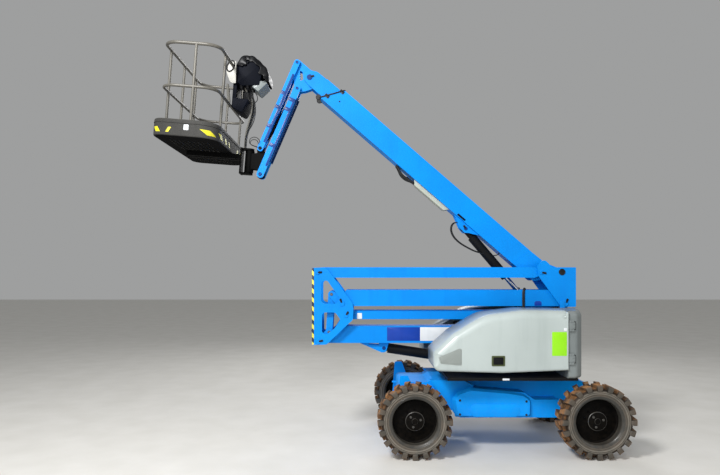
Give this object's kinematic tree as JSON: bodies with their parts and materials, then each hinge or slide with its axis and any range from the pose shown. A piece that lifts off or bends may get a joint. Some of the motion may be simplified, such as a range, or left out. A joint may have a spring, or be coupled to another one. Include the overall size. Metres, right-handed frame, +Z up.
{
  "type": "articulating boom lift",
  "caption": "Self-propelled lift with a folding parallelogram riser, a telescoping boom, a jib and a railed work cage on a slewing turntable.",
  "frame": {"origin": "on the ground under the middle of the machine's outer box, in the middle plane across the machine", "axes": "+Z up, +X towards the tail and rear wheels, -X towards the cage, -Y the operator's left side"},
  "size_m": [5.4338, 2.1, 4.7965],
  "materials": {
    "blue_paint": "gloss paint, dusty",
    "black_paint": "satin paint",
    "grey_paint": "satin paint",
    "dark_steel": "painted casting",
    "grey_shell": "moulded, semi-gloss",
    "grey_casting": "painted casting",
    "black_plastic": "textured",
    "tyre": "dusty rubber",
    "chrome_rod": "polished",
    "hose_rubber": "satin"
  },
  "bodies": {
    "chassis": {"chassis_frame": "blue_paint", "chassis_covers": "blue_paint", "front_axle": "dark_steel", "rear_axle": "dark_steel", "slew_ring": "dark_steel"},
    "steer_left": {"steer_knuckle_left": "dark_steel"},
    "steer_right": {"steer_knuckle_right": "dark_steel"},
    "wheel_front_left": {"tyre_front_left": "tyre", "rim_front_left": "black_paint"},
    "wheel_front_right": {"tyre_front_right": "tyre", "rim_front_right": "black_paint"},
    "wheel_rear_left": {"tyre_rear_left": "tyre", "rim_rear_left": "black_paint"},
    "wheel_rear_right": {"tyre_rear_right": "tyre", "rim_rear_right": "black_paint"},
    "turntable": {"turntable_frame": "blue_paint", "counterweight": "grey_casting", "engine_block": "dark_steel"},
    "canopy_left": {"canopy_left": "grey_shell"},
    "canopy_right": {"canopy_right": "grey_shell"},
    "lower_boom": {"lower_boom": "blue_paint"},
    "lower_ties": {"lower_ties": "blue_paint"},
    "mid_knuckle": {"mid_knuckle": "blue_paint"},
    "timing_links": {"timing_links": "blue_paint"},
    "upper_riser": {"upper_riser": "blue_paint"},
    "upper_ties": {"upper_ties": "blue_paint"},
    "upper_knuckle": {"upper_knuckle": "blue_paint"},
    "riser_ram_barrel": {"riser_ram_barrel": "black_paint"},
    "riser_ram_rod": {"riser_ram_rod": "chrome_rod"},
    "main_boom": {"main_boom": "blue_paint", "cable_tray": "dark_steel"},
    "lift_ram_barrel": {"lift_ram_barrel": "black_paint"},
    "lift_ram_rod": {"lift_ram_rod": "chrome_rod"},
    "fly_boom": {"fly_boom": "blue_paint"},
    "head_bracket": {"head_bracket": "blue_paint"},
    "jib_lower_arm": {"jib_lower_arm": "blue_paint", "hoses_jib": "hose_rubber"},
    "jib_upper_arm": {"jib_upper_arm": "blue_paint"},
    "jib_ram_barrel": {"jib_ram_barrel": "black_paint"},
    "jib_ram_rod": {"jib_ram_rod": "chrome_rod"},
    "cage_post": {"cage_post": "blue_paint"},
    "cage": {"cage_mount": "grey_paint", "cage_tray": "black_plastic", "cage_rails": "grey_paint", "cage_console": "black_plastic", "hoses_console": "hose_rubber"}
  },
  "joints": [
    {"name": "slew", "type": "hinge", "parent": "chassis", "child": "turntable", "pos_m": [1.285, 0, 0.86], "axis": [0, 0, 1], "range_deg": [-177.5, 177.5]},
    {"name": "steer_left", "type": "hinge", "parent": "chassis", "child": "steer_left", "pos_m": [0.264, -0.69, 0.419], "axis": [0, 0, 1], "range_deg": [-30, 30]},
    {"name": "steer_right", "type": "hinge", "parent": "chassis", "child": "steer_right", "pos_m": [0.264, 0.69, 0.419], "axis": [0, 0, 1], "range_deg": [-30.5, 30.5]},
    {"name": "wheel_front_left", "type": "hinge", "parent": "steer_left", "child": "wheel_front_left", "pos_m": [0.264, -0.895, 0.419], "axis": [0, 1, 0], "continuous": true},
    {"name": "wheel_front_right", "type": "hinge", "parent": "steer_right", "child": "wheel_front_right", "pos_m": [0.264, 0.895, 0.419], "axis": [0, 1, 0], "continuous": true},
    {"name": "wheel_rear_left", "type": "hinge", "parent": "chassis", "child": "wheel_rear_left", "pos_m": [2.306, -0.895, 0.419], "axis": [0, 1, 0], "continuous": true},
    {"name": "wheel_rear_right", "type": "hinge", "parent": "chassis", "child": "wheel_rear_right", "pos_m": [2.306, 0.895, 0.419], "axis": [0, 1, 0], "continuous": true},
    {"name": "canopy_left", "type": "hinge", "parent": "turntable", "child": "canopy_left", "pos_m": [2.012, -0.934, 1.29], "axis": [0, 0, 1], "range_deg": [0, 100]},
    {"name": "canopy_right", "type": "hinge", "parent": "turntable", "child": "canopy_right", "pos_m": [2.012, 0.934, 1.29], "axis": [0, 0, -1], "range_deg": [0, 100]},
    {"name": "riser_lift", "type": "hinge", "parent": "turntable", "child": "lower_boom", "pos_m": [1.891, 0, 1.233], "axis": [0, 1, 0], "range_deg": [0, 65]},
    {"name": "lower_tie_foot", "type": "hinge", "parent": "turntable", "child": "lower_ties", "pos_m": [2.236, 0, 1.554], "axis": [0, 1, 0], "range_deg": [-0.5, 65.5]},
    {"name": "mid_knuckle_lower", "type": "hinge", "parent": "lower_boom", "child": "mid_knuckle", "pos_m": [-0.869, 0, 1.233], "axis": [0, 1, 0], "range_deg": [-65.5, 0.5]},
    {"name": "timing_link_foot", "type": "hinge", "parent": "lower_boom", "child": "timing_links", "pos_m": [-0.737, 0, 1.345], "axis": [0, 1, 0], "range_deg": [-75.25, 0.5]},
    {"name": "upper_riser_foot", "type": "hinge", "parent": "mid_knuckle", "child": "upper_riser", "pos_m": [-0.574, 0, 1.702], "axis": [0, 1, 0], "range_deg": [-65.5, 0.5]},
    {"name": "upper_tie_foot", "type": "hinge", "parent": "mid_knuckle", "child": "upper_ties", "pos_m": [-0.876, 0, 2.084], "axis": [0, 1, 0], "range_deg": [-65.5, 0.5]},
    {"name": "upper_knuckle_level", "type": "hinge", "parent": "upper_riser", "child": "upper_knuckle", "pos_m": [2.186, 0, 1.702], "axis": [0, 1, 0], "range_deg": [-0.5, 65.5]},
    {"name": "riser_ram_head", "type": "hinge", "parent": "lower_boom", "child": "riser_ram_barrel", "pos_m": [-0.052, 0, 1.134], "axis": [0, 1, 0], "range_deg": [-0.5, 12.08]},
    {"name": "riser_ram_stroke", "type": "slide", "parent": "riser_ram_barrel", "child": "riser_ram_rod", "axis": [0.9889, 0, -0.1489], "range_m": [-0.002, 0.79277]},
    {"name": "main_lift", "type": "hinge", "parent": "upper_knuckle", "child": "main_boom", "pos_m": [2.138, 0, 2.09], "axis": [0, 1, 0], "range_deg": [-40.8, 34.2]},
    {"name": "lift_ram_head", "type": "hinge", "parent": "main_boom", "child": "lift_ram_barrel", "pos_m": [0.97768, 0, 2.63581], "axis": [0, 1, 0], "range_deg": [-1.68, 1.82]},
    {"name": "lift_ram_stroke", "type": "slide", "parent": "lift_ram_barrel", "child": "lift_ram_rod", "axis": [0.6485, 0, -0.7612], "range_m": [-0.3564, 0.29907]},
    {"name": "telescope", "type": "slide", "parent": "main_boom", "child": "fly_boom", "axis": [-0.757, 0, 0.6534], "range_m": [0, 2.6]},
    {"name": "head_level", "type": "hinge", "parent": "fly_boom", "child": "head_bracket", "pos_m": [-0.98471, 0, 4.53578], "axis": [0, 1, 0], "range_deg": [-35.2, 41.8]},
    {"name": "jib_lift", "type": "hinge", "parent": "head_bracket", "child": "jib_lower_arm", "pos_m": [-1.14201, 0, 4.39698], "axis": [0, 1, 0], "range_deg": [-8, 132]},
    {"name": "jib_upper_foot", "type": "hinge", "parent": "head_bracket", "child": "jib_upper_arm", "pos_m": [-1.14201, 0, 4.72298], "axis": [0, 1, 0], "range_deg": [-11, 135]},
    {"name": "cage_post_level", "type": "hinge", "parent": "jib_lower_arm", "child": "cage_post", "pos_m": [-1.60638, 0, 3.31872], "axis": [0, 1, 0], "range_deg": [-135, 11]},
    {"name": "jib_ram_foot", "type": "hinge", "parent": "head_bracket", "child": "jib_ram_barrel", "pos_m": [-1.14201, 0, 4.39698], "axis": [0, 1, 0], "range_deg": [-10.81, 131.91]},
    {"name": "jib_ram_stroke", "type": "slide", "parent": "jib_ram_barrel", "child": "jib_ram_rod", "axis": [-0.5253, 0, -0.8509], "range_m": [-0.0479, 0.60443]},
    {"name": "cage_rotate", "type": "hinge", "parent": "cage_post", "child": "cage", "pos_m": [-1.75698, 0, 3.48002], "axis": [0.0785, 0, 0.9969], "range_deg": [-80, 80]}
  ],
  "couplings": [
    {"joint": "steer_right", "follows": "steer_left", "ratio": 1},
    {"joint": "lower_tie_foot", "follows": "riser_lift", "ratio": 1},
    {"joint": "mid_knuckle_lower", "follows": "riser_lift", "ratio": -1},
    {"joint": "timing_link_foot", "follows": "riser_lift", "ratio": -1.15},
    {"joint": "upper_riser_foot", "follows": "riser_lift", "ratio": -1},
    {"joint": "upper_tie_foot", "follows": "riser_lift", "ratio": -1},
    {"joint": "upper_knuckle_level", "follows": "riser_lift", "ratio": 1},
    {"joint": "riser_ram_head", "follows": "riser_lift", "ratio": 0.17815},
    {"joint": "riser_ram_stroke", "follows": "riser_lift", "m_per_rad": 0.69704},
    {"joint": "lift_ram_head", "follows": "main_lift", "ratio": -0.02},
    {"joint": "lift_ram_stroke", "follows": "main_lift", "m_per_rad": 0.49769},
    {"joint": "head_level", "follows": "main_lift", "ratio": -1},
    {"joint": "jib_upper_foot", "follows": "jib_lift", "ratio": 1},
    {"joint": "cage_post_level", "follows": "jib_lift", "ratio": -1},
    {"joint": "jib_ram_foot", "follows": "jib_lift", "ratio": 0.97657},
    {"joint": "jib_ram_stroke", "follows": "jib_lift", "m_per_rad": 0.25715}
  ]
}
